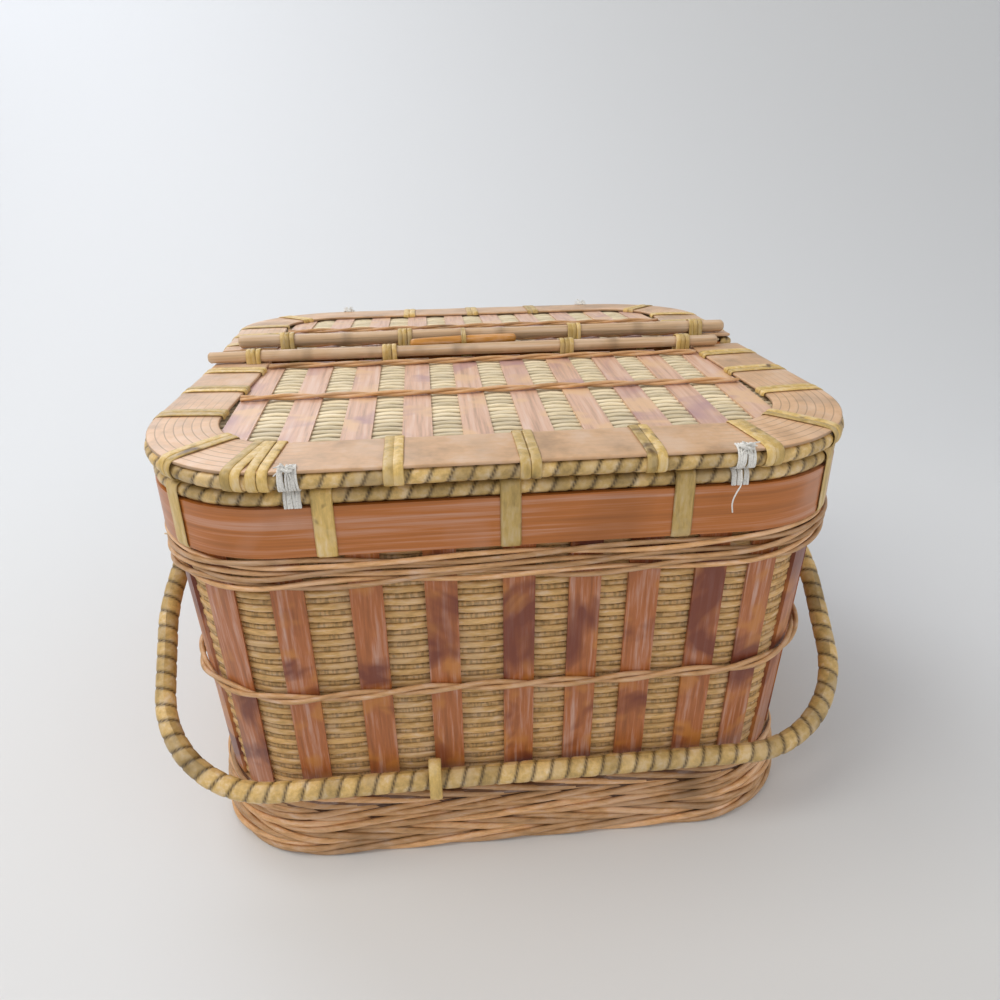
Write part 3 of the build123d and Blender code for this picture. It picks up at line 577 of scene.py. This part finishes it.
class BasketWall(bpy.types.Operator):
    """Fine wefts, smooth and with painted nick shade in turn, that pass behind the slats and bulge in the gaps"""
    bl_idname = "basket.wall"
    bl_label = "Wall"

    def execute(self, context):
        sizes, finishes = settings_of(context)
        chance = random.Random(sizes.seed)
        shape = new_shape()
        rows = int((WALL_TOP_Z - FOOT_Z) / sizes.weft_pitch)
        for row in range(rows):
            z = FOOT_Z + (row + 0.5) * sizes.weft_pitch
            line, length = wall_ring(z, -1.7, 5.0)
            outward = unit(np.cross(headings(line, True), (0, 0, 1)))
            run = np.linspace(0, length, len(line))
            stops = sorted(run[i] for i in self.slat_indices(line, outward))
            stops = np.array([stops[-1] - length] + stops + [stops[0] + length])
            after = np.clip(np.searchsorted(stops, run, side="right"), 1, len(stops) - 1)
            share = (run - stops[after - 1]) / (stops[after] - stops[after - 1])
            flat = row % 2
            bulge = np.sin(math.pi * share) ** 1.5 * (1.0 + 0.45 * flat)
            wander = np.array([chance.uniform(-0.12, 0.12) for _ in line])
            wander[-1] = wander[0]
            line = line + outward * bulge[:, None] + np.outer(wander, (0, 0, 1))
            # The narrower rows take the gap shade in dashes: painted shade of nicks
            add_bar(shape, line, (0, 0, 1), (0.4 + 0.16 * flat) * sizes.weft_pitch, 1.3, 6, True,
                    tone=chance.uniform(0.35, 1) if flat else chance.uniform(0, 0.4), gap=0.0 if flat else 0.42,
                    square=0.7)
        finish_piece("wall_wefts", shape, finishes["weft"], "basket", ["wall_weave"])
        paint_nodes(finishes["slat"], "wall_slats")
        paint_nodes(finishes["cane"], "inner_stakes", "front_handle_pins", "rear_handle_pins")
        # The base panel in the shaded cane: painted shade
        paint_nodes(finishes["shade"], "base_panel")
        return {"FINISHED"}

    def slat_indices(self, line, outward):
        """Index of the point at the middle of each slat."""
        x, y = line[:-1, 0], line[:-1, 1]
        found = [np.argmin(np.abs(x - place) + 1e6 * (y > 0)) for place in FRONT_SLATS]
        found += [np.argmin(np.abs(x - (i - 4) * SLAT_PITCH) + 1e6 * (y < 0)) for i in range(9)]
        for side in (-1, 1):
            found += [np.argmin(np.abs(y - (i - 3) * SLAT_PITCH) + 1e6 * (x * side < 80)) for i in range(7)]
        for sx, sy, degrees in CORNER_SLATS:
            way = np.array((sx * math.sin(math.radians(degrees)), sy * math.cos(math.radians(degrees)), 0))
            found.append(np.argmax(outward[:-1] @ way))
        return sorted({int(i) for i in found})


class BasketFoot(bpy.types.Operator):
    """Braided foot of five flared rows, each of three long-laid cane strands"""
    bl_idname = "basket.foot"
    bl_label = "Foot"

    def execute(self, context):
        sizes, finishes = settings_of(context)
        chance = random.Random(sizes.seed + 1)
        shape = new_shape()
        half_x, half_y, corner = FOOT_RING
        for row in range(FOOT_ROWS):
            z = 3.95 + 7.1 * row
            reach = FOOT_REACH - (row + 0.5) * 1.04
            line, length = ring_line(half_x + reach - 3.6, half_y + reach - 3.6, corner + reach - 3.6, z, 3.4)
            turns = round(length / (sizes.twine_lay * (1.75, 1.4, 1.9, 1.5, 1.7)[row]))
            for strand in range(3):
                path = strand_of(line, True, 2.2, 1.5, turns * (-1 if row in (1, 4) else 1),
                                 strand * 2 * math.pi / 3 + 1.7 * row)
                add_bar(shape, path, (0, 0, 1), 1.85, 1.6, 6, True, tone=chance.random())
        finish_piece("foot_strands", shape, finishes["twine"], "basket", ["foot_border"])
        # Dark ring inside the foot in the shaded cane: painted shade behind the strands
        backing = new_shape()
        for row in range(FOOT_ROWS):
            line, _ = ring_line(half_x + 2.2, half_y + 2.2, corner + 2.2, 4.0 + 7.0 * row, 12.0)
            add_bar(backing, line, (0, 0, 1), 3.5, 1.9, 6, True)
        finish_piece("foot_shade_ring", backing, finishes["shade"], "basket")
        return {"FINISHED"}


class BasketTwines(bpy.types.Operator):
    """Twined rows round the wall, two strands each"""
    bl_idname = "basket.twines"
    bl_label = "Twines"

    def execute(self, context):
        sizes, finishes = settings_of(context)
        chance = random.Random(sizes.seed + 2)
        for name, heights, up, thick in (("mid_twine", (MID_TWINE_Z,), 1.5, 1.3),
                                         ("upper_twine", UPPER_TWINE_Z, 1.7, 1.25)):
            shape = new_shape()
            for row, z in enumerate(heights):
                line, length = wall_ring(z, SLAT_REACH + 2.3, 3.2)
                run = np.linspace(0, 2 * math.pi, len(line))
                line = line + np.outer(0.7 * np.sin(5 * run + row) + 0.5 * np.sin(11 * run + 2 * row), (0, 0, 1))
                turns = round(length / (sizes.twine_lay * (1 if len(heights) == 1 else 1.7 + 0.35 * row)))
                for strand in range(2):
                    path = strand_of(line, True, up, 1.1, turns, strand * math.pi + 1.3 * row)
                    add_bar(shape, path, (0, 0, 1), thick, thick, 7, True, tone=chance.random())
            finish_piece(f"{name}_strands", shape, finishes["twine"], "basket", [name])
        frayed = new_shape()
        for _ in range(9):
            start = np.array((-164.0 + chance.uniform(-2, 4), -112.0 + chance.uniform(-8, 10),
                              176 + chance.uniform(-6, 8)))
            way = np.array((chance.uniform(-6, -1.5), chance.uniform(-6, 2), chance.uniform(-5, 5)))
            add_bar(frayed, smoothed(np.array([start, start + way * 0.5, start + way + (0, 0, -1.0)])), (0, 0, 1),
                    0.4, 0.4, 5, tone=0.9)
        finish_piece("frayed_ends", frayed, finishes["lid_weft"], "basket")
        return {"FINISHED"}


class BasketRim(bpy.types.Operator):
    """Flat hoops, wrapped cane, ties and string loops of the body's rim"""
    bl_idname = "basket.rim"
    bl_label = "Rim"

    def execute(self, context):
        sizes, finishes = settings_of(context)
        chance = random.Random(sizes.seed + 3)
        paint_nodes(finishes["rim_band"], "rim_hoop_outer", "rim_hoop_inner")
        paint_nodes(finishes["cane"], "rim_cane")
        half_x, half_y, corner = RIM_OUT
        line, length = ring_line(half_x - CANE_RADIUS, half_y - CANE_RADIUS, corner - CANE_RADIUS, RIM_CANE_Z, 0.85)
        wrap = new_shape()
        add_wrapped_bar(wrap, line, length, (0, 0, 1), CANE_RADIUS, sizes.wrap_turn, 12, True, chance)
        finish_piece("rim_wrapping", wrap, finishes["wrap"], "basket", ["rim_wrap"])

        low, top, cane = HOOP_Z - 0.5, RIM_CANE_Z + CANE_RADIUS + 0.5, CANE_RADIUS
        back = 10.8
        profile = [(2.4, low), (-0.5, low), (-0.5, low + 8), (-0.5, RIM_CANE_Z - 3), (-0.5, RIM_CANE_Z + 2.0),
                   (cane - 2.2, top), (cane + 2.2, top), (2 * cane + 0.9, RIM_CANE_Z + 1.6), (back, WALL_TOP_Z + 1.0),
                   (back, WALL_TOP_Z - 8), (back, low), (back - 2.4, low)]
        ties = new_shape()
        spots = [((x, -half_y), (0, 1)) for x in RIM_TIES] + [((x, half_y), (0, -1)) for x in RIM_TIES]
        spots += [((s * half_x, y), (-s, 0)) for s in (-1, 1) for y in (-88, 0, 88)]
        turn = corner * (1 - math.sqrt(0.5))
        spots += [((sx * (half_x - turn), sy * (half_y - turn)), (-sx, -sy)) for sx in (-1, 1) for sy in (-1, 1)]
        for origin, inward in spots:
            add_strap(ties, origin, inward, profile, 9.0, 1, 0.45, chance, 0.25)
        finish_piece("rim_lashings", ties, finishes["tie"], "basket", ["rim_ties"])

        loops = new_shape()
        string = [(-0.5, RIM_CANE_Z - 3.4), (-0.5, RIM_CANE_Z + 1.9), (cane - 2.0, top - 0.1),
                  (cane + 2.0, top - 0.1)]
        for x in STRING_PLACES:
            for origin, inward in (((x, -half_y), (0, 1)), ((x, half_y), (0, -1))):
                add_strap(loops, origin, inward, string, 8.0, sizes.string_ends, 0.45, chance, 0.6)
        finish_piece("rim_strings", loops, finishes["cotton"], "basket", ["rim_hinge_strings"])
        return {"FINISHED"}


class BasketLids(bpy.types.Operator):
    """Both lid flaps: wefts, splints, laminated band, wrapped cane, twines, ties and strings"""
    bl_idname = "basket.lids"
    bl_label = "Lid flaps"

    def execute(self, context):
        sizes, finishes = settings_of(context)
        chance = random.Random(sizes.seed + 4)
        for side, front in (("front", FRONT_LID_TIES), ("rear", REAR_LID_TIES)):
            place, body = lid_place(side), f"{side}_lid"
            self.panel(side, body, place, sizes, finishes, chance)
            self.band(side, body, place, sizes, finishes, chance)
            self.lashings(side, body, place, front, finishes, chance)
            self.strings(side, body, place, sizes, finishes, chance)
            paint_nodes(finishes["splint"], f"{side}_lid_splints")
            paint_nodes(finishes["rim_band"], f"{side}_lid_under_frame")
            paint_nodes(finishes["cane"], f"{side}_lid_cane")
        return {"FINISHED"}

    def panel(self, side, body, place, sizes, finishes, chance):
        """Wefts from side to side, raised between the splints, and the twined rows over them."""
        outline, _ = lid_outline(PANEL_INSET + 0.6, 0, 1.0)
        right = outline[(outline[:, 0] > 0)]
        shape = new_shape()
        rows = int((LID_INNER_Y - LID_FRONT_Y - PANEL_INSET - 1.5) / sizes.lid_weft_pitch)
        for row in range(rows):
            y = LID_INNER_Y - 2.0 - (row + 0.2) * sizes.lid_weft_pitch
            half = float(np.interp(y, right[:, 1], right[:, 0]))
            x = np.linspace(-half, half, max(20, round(half / 1.75)))
            lift = 0.5 * (1 + np.cos(2 * math.pi * x / SPLINT_PITCH)) * 1.15 * (np.abs(x) < 126)
            z = 223.45 + lift + 0.12 * np.sin(x * 0.4 + row * 2.1)
            line = np.stack([x, y + 0.25 * np.sin(x * 0.11 + row), z], 1)
            add_bar(shape, line, (0, 1, 0), 1.7 + 0.25 * (row % 2), 1.05, 6, tone=chance.random())
        finish_piece(f"{side}_lid_wefts", shape, finishes["lid_weft"], body, [f"{side}_lid_weave"],
                     place)
        twines = new_shape()
        for depth in LID_TWINE_DEPTHS:
            y = LID_FRONT_Y + depth
            half = LID_HALF_CENTRE + (LID_INNER_Y - y) * 14 / 165 - BAND_WIDTH - 1.5
            x = np.arange(-half, half, 2.4)
            line = np.stack([x, y + 0.8 * np.sin(x / SPLINT_PITCH), np.full_like(x, 227.45)], 1)
            for strand in range(2):
                angle = 2 * math.pi * x / (2 * SPLINT_PITCH) + strand * math.pi
                path = line + np.stack([0 * x, 1.15 * np.sin(angle), 0.8 * np.cos(angle)], 1)
                add_bar(twines, path, (0, 1, 0), 1.0, 0.95, 6, tone=chance.random())
        finish_piece(f"{side}_lid_twine_strands", twines, finishes["twine"], body,
                     [f"{side}_lid_twines"], place)

    def band(self, side, body, place, sizes, finishes, chance):
        """Broad band of laminated strips round the flap, and the wrapped cane under its edge."""
        shape = new_shape()
        line, _ = lid_outline(BAND_WIDTH / 2, LID_TOP_Z - 1.0, 3.0)
        inward = unit(np.cross((0, 0, 1), headings(line, False)))
        bend = np.clip((-line[:, 1] - 60) / 50, 0, 1) * np.clip((np.abs(line[:, 0]) - 85) / 25, 0, 1)
        # The tone, higher where the strips part, deepens the painted shade in the creases
        add_bar(shape, line, inward, BAND_WIDTH / 2, 1.0, 28, tone=(0.12 + 0.6 * bend)[:, None], square=0.35,
                blunt=True)
        finish_piece(f"{side}_lid_band", shape, finishes["lid_band"], body,
                     [f"{side}_lid_frame"], place)
        wrap = new_shape()
        line, length = lid_outline(2.0, LID_CANE_Z, 0.85)
        add_wrapped_bar(wrap, line, length, (0, 0, 1), CANE_RADIUS, sizes.wrap_turn, 12, False, chance)
        finish_piece(f"{side}_lid_wrapping", wrap, finishes["wrap"], body, [f"{side}_lid_wrap"],
                     place)

    def lashings(self, side, body, place, front, finishes, chance):
        """Flat ties over the band and round the cane."""
        top, low, out = LID_TOP_Z + 0.5, LID_CANE_Z - CANE_RADIUS - 0.5, 2.0 - CANE_RADIUS - 0.5
        profile = [(32.8, 226.2), (32.8, top - 0.6), (31.6, top), (16.0, top + 0.1), (1.0, top),
                   (out + 0.2, LID_CANE_Z + 3.4), (out, LID_CANE_Z), (out + 1.2, low + 1.0), (2.5, low), (10.0, low),
                   (19.5, low)]
        shape = new_shape()
        outline, _ = lid_outline(0.0, 0.0, 1.0)
        for origin, inward in lid_tie_spots(outline, front):
            add_strap(shape, origin, inward, profile, 9.0, 2, 0.42, chance, 0.35)
        finish_piece(f"{side}_lid_lashings", shape, finishes["tie"], body, [f"{side}_lid_ties"], place)

    def strings(self, side, body, place, sizes, finishes, chance):
        """Cotton hinge loops over the band's edge, with a knot and loose tails."""
        top, low, out = LID_TOP_Z + 0.5, LID_CANE_Z - CANE_RADIUS - 0.4, 2.0 - CANE_RADIUS - 0.4
        profile = [(4.8, top - 0.1), (1.0, top), (out + 0.2, LID_CANE_Z + 3.2), (out - 0.2, LID_CANE_Z),
                   (out + 0.9, low + 0.9), (3.0, low), (7.5, low)]
        shape = new_shape()
        for x in STRING_PLACES:
            add_strap(shape, (x, LID_FRONT_Y), (0, 1), profile, 8.6, sizes.string_ends + 2, 0.5, chance, 1.1)
            knot = np.array((x, LID_FRONT_Y - 0.5, LID_TOP_Z + 1.0))
            for k in range(3):
                angle = np.linspace(0, 2 * math.pi, 13)
                ring = np.stack([2.6 * np.cos(angle), 1.3 * np.sin(angle), 0.7 * np.sin(2 * angle + k)], 1)
                add_bar(shape, knot + ring + (chance.uniform(-1, 1), k * 0.7, 0), (0.2, 0.3, 1), 0.6, 0.6, 6, True,
                        tone=chance.random())
            for _ in range(14):
                way = np.array((chance.uniform(-5, 5), chance.uniform(-2.4, -0.2), chance.uniform(-6, 3)))
                tail = np.array([knot, knot + way * 0.5 + (0, 0, 0.8), knot + way])
                add_bar(shape, smoothed(tail), (0.1, 1, 0.2), 0.3, 0.3, 5, tone=chance.random())
            if x > 0 and side == "front":
                tail = np.array([(x - 2, -175.4, 219), (x - 1.2, -176.3, 213), (x - 3.4, -176.3, 208.5),
                                 (x - 4.6, -176.1, 204), (x - 3.6, -175.9, 199)])
                add_bar(shape, smoothed(tail), (0, 1, 0), 0.35, 0.35, 5, tone=1.0)
        finish_piece(f"{side}_lid_strings", shape, finishes["cotton"], body,
                     [f"{side}_lid_hinge_strings"], place)


class BasketSticks(bpy.types.Operator):
    """Round sticks along the meeting edges, their lashings, and the toggle peg with its cord"""
    bl_idname = "basket.sticks"
    bl_label = "Sticks and peg"

    def execute(self, context):
        sizes, finishes = settings_of(context)
        chance = random.Random(sizes.seed + 5)
        for side, radius, shift in (("front", 3.5, -10.0), ("rear", 4.0, -3.0)):
            y, z = LID_INNER_Y - radius, LID_TOP_Z + 0.1 + radius
            x = np.linspace(shift - STICK_HALF, shift + STICK_HALF, 107)
            knots = sum(np.exp(-((x - shift - place) / 3.0) ** 2) for place in (-96, -8, 88))
            swell = (0.97 + 0.04 * np.sin(x / 23) + 0.06 * knots)[:, None]
            line = np.stack([x, y + 0 * x, z + 0 * x], 1)
            stick = new_shape()
            add_bar(stick, line, (0, 1, 0), radius, radius, 12, swell=swell, gap=0.35 * knots[:, None],
                    tone=0.45 + 0.1 * np.sin(x / 31)[:, None])
            finish_piece(f"{side}_peeled_stick", stick, finishes["stick"], f"{side}_lid",
                         [f"{side}_stick"], lid_place(side))
            ties = new_shape()
            near, far, top = y - radius - 0.55, y + radius + 0.55, z + radius + 0.55
            cut = 0.55 * radius
            for place in STICK_TIES:
                on_band = abs(place) > 124
                foot = LID_TOP_Z + 0.2 if on_band else 226.2
                low = 221.7 if not on_band else 219.6
                profile = [(near, foot), (near, z), (near + 0.3, top - cut), (near + cut, top), (far - cut, top),
                           (far - 0.3, top - cut), (far, z), (far, low), (near + 2.0, low)]
                add_strap(ties, (place, 0), (0, 1), profile, 8.4, 3, 0.42, chance, 0.3)
            finish_piece(f"{side}_stick_lashings", ties, finishes["tie"], f"{side}_lid",
                         [f"{side}_stick_ties"], lid_place(side))
        self.peg(finishes, chance)
        return {"FINISHED"}

    def peg(self, finishes, chance):
        """Peg that tapers to both ends, and the cord that knots it to the rear stick."""
        way = np.array((math.cos(math.radians(PEG_TURN)), math.sin(math.radians(PEG_TURN)), 0))
        run = np.linspace(-PEG_HALF, PEG_HALF, 33)
        swell = (1.0 - 0.16 * np.abs(run / PEG_HALF) ** 2.5)[:, None]
        peg = new_shape()
        add_bar(peg, PEG_MIDDLE + np.outer(run, way), (0, 0, 1), 3.25, 3.25, 12, swell=swell,
                tone=0.5 + 0.2 * np.sin(run / 9)[:, None])
        finish_piece("bamboo_toggle_peg", peg, finishes["peg"], "toggle_peg", ["toggle_peg"])
        low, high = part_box("peg_loop")
        centre = 500 * (low + high)
        reach = 500 * (high - low)
        cord = new_shape()
        angle = np.linspace(0, 2 * math.pi, 41)
        for k in range(3):
            ring = np.stack([0.9 * (k - 1) + 0 * angle, (reach.y - 0.6) * np.cos(angle),
                             (reach.z - 0.6) * np.sign(np.sin(angle)) * np.abs(np.sin(angle)) ** 0.8], 1)
            add_bar(cord, np.array(centre) + ring, (1, 0, 0), 0.55, 0.55, 6, True, tone=chance.random())
        finish_piece("peg_cord", cord, finishes["tie"], "rear_lid", ["peg_loop"])


class BasketHandles(bpy.types.Operator):
    """Wrapped swinging handles and the keeper ring on the front one"""
    bl_idname = "basket.handles"
    bl_label = "Handles"

    def execute(self, context):
        sizes, finishes = settings_of(context)
        chance = random.Random(sizes.seed + 6)
        paint_nodes(finishes["cane"], "front_handle_core", "rear_handle_core")
        arm = math.hypot(PIVOT[2] - BAR[1], BAR[0] - PIVOT[1])
        share = WRAP_START / math.hypot(HANDLE_WIDE - PIVOT[0], arm - HANDLE_SHOULDER)
        start = (PIVOT[0] + share * (HANDLE_WIDE - PIVOT[0]), arm - share * (arm - HANDLE_SHOULDER))
        flat = [start, (HANDLE_WIDE, HANDLE_SHOULDER), (HANDLE_BAR_HALF, 0)]
        flat = [(-u, v) for u, v in flat] + flat[::-1]
        slope_y, slope_z = (BAR[0] - PIVOT[1]) / arm, (PIVOT[2] - BAR[1]) / arm
        for side, sign in (("front", -1), ("rear", 1)):
            corners = [(u, sign * (BAR[0] - v * slope_y), BAR[1] + v * slope_z) for u, v in flat]
            line, length = rounded_line(corners, (120, 62, 62, 120), 0.85)
            shape = new_shape()
            add_wrapped_bar(shape, line, length, (0, 0, 1), 5.3, sizes.wrap_turn + 0.2, 14, False, chance)
            finish_piece(f"{side}_handle_wrapping", shape, finishes["wrap"], f"{side}_handle",
                         [f"{side}_handle_wrap"])
        ring = new_shape()
        angle = np.linspace(0, 2 * math.pi, 41)
        line = np.stack([np.full_like(angle, KEEPER_X), -BAR[0] + 6.4 * np.sin(angle),
                         BAR[1] + 11.7 * np.sign(np.cos(angle)) * np.abs(np.cos(angle)) ** 0.85], 1)
        add_bar(ring, line, (1, 0, 0), 3.2, 0.6, 8, True, tone=0.8, square=0.7)
        finish_piece("keeper_ring_strip", ring, finishes["tie"], "keeper_ring", ["keeper_ring"])
        return {"FINISHED"}


class BasketPanel(bpy.types.Panel):
    """Sidebar panel with the basket's settings and pieces"""
    bl_idname = "VIEW3D_PT_basket"
    bl_label = "Picnic Basket"
    bl_space_type = "VIEW_3D"
    bl_region_type = "UI"
    bl_category = "Basket"

    def draw(self, context):
        layout = self.layout
        for settings in (context.scene.basket_sizes, context.scene.basket_colours):
            box = layout.box()
            for name in settings.__annotations__:
                box.prop(settings, name)
        for operator in OPERATORS:
            layout.operator(operator.bl_idname)


OPERATORS = (BasketStage, BasketWall, BasketFoot, BasketTwines, BasketRim, BasketLids, BasketSticks, BasketHandles)
CLASSES = (BasketSizes, BasketColours, *OPERATORS, BasketPanel)


def register():
    """Adds the classes and the scene's settings."""
    for cls in CLASSES:
        bpy.utils.register_class(cls)
    bpy.types.Scene.basket_sizes = PointerProperty(type=BasketSizes)
    bpy.types.Scene.basket_colours = PointerProperty(type=BasketColours)


def unregister():
    """Removes them again."""
    del bpy.types.Scene.basket_colours
    del bpy.types.Scene.basket_sizes
    for cls in reversed(CLASSES):
        bpy.utils.unregister_class(cls)


def main():
    """Makes every piece in turn."""
    register()
    bpy.ops.basket.stage()
    bpy.ops.basket.wall()
    bpy.ops.basket.foot()
    bpy.ops.basket.twines()
    bpy.ops.basket.rim()
    bpy.ops.basket.lids()
    bpy.ops.basket.sticks()
    bpy.ops.basket.handles()


if __name__ == "__main__":
    main()
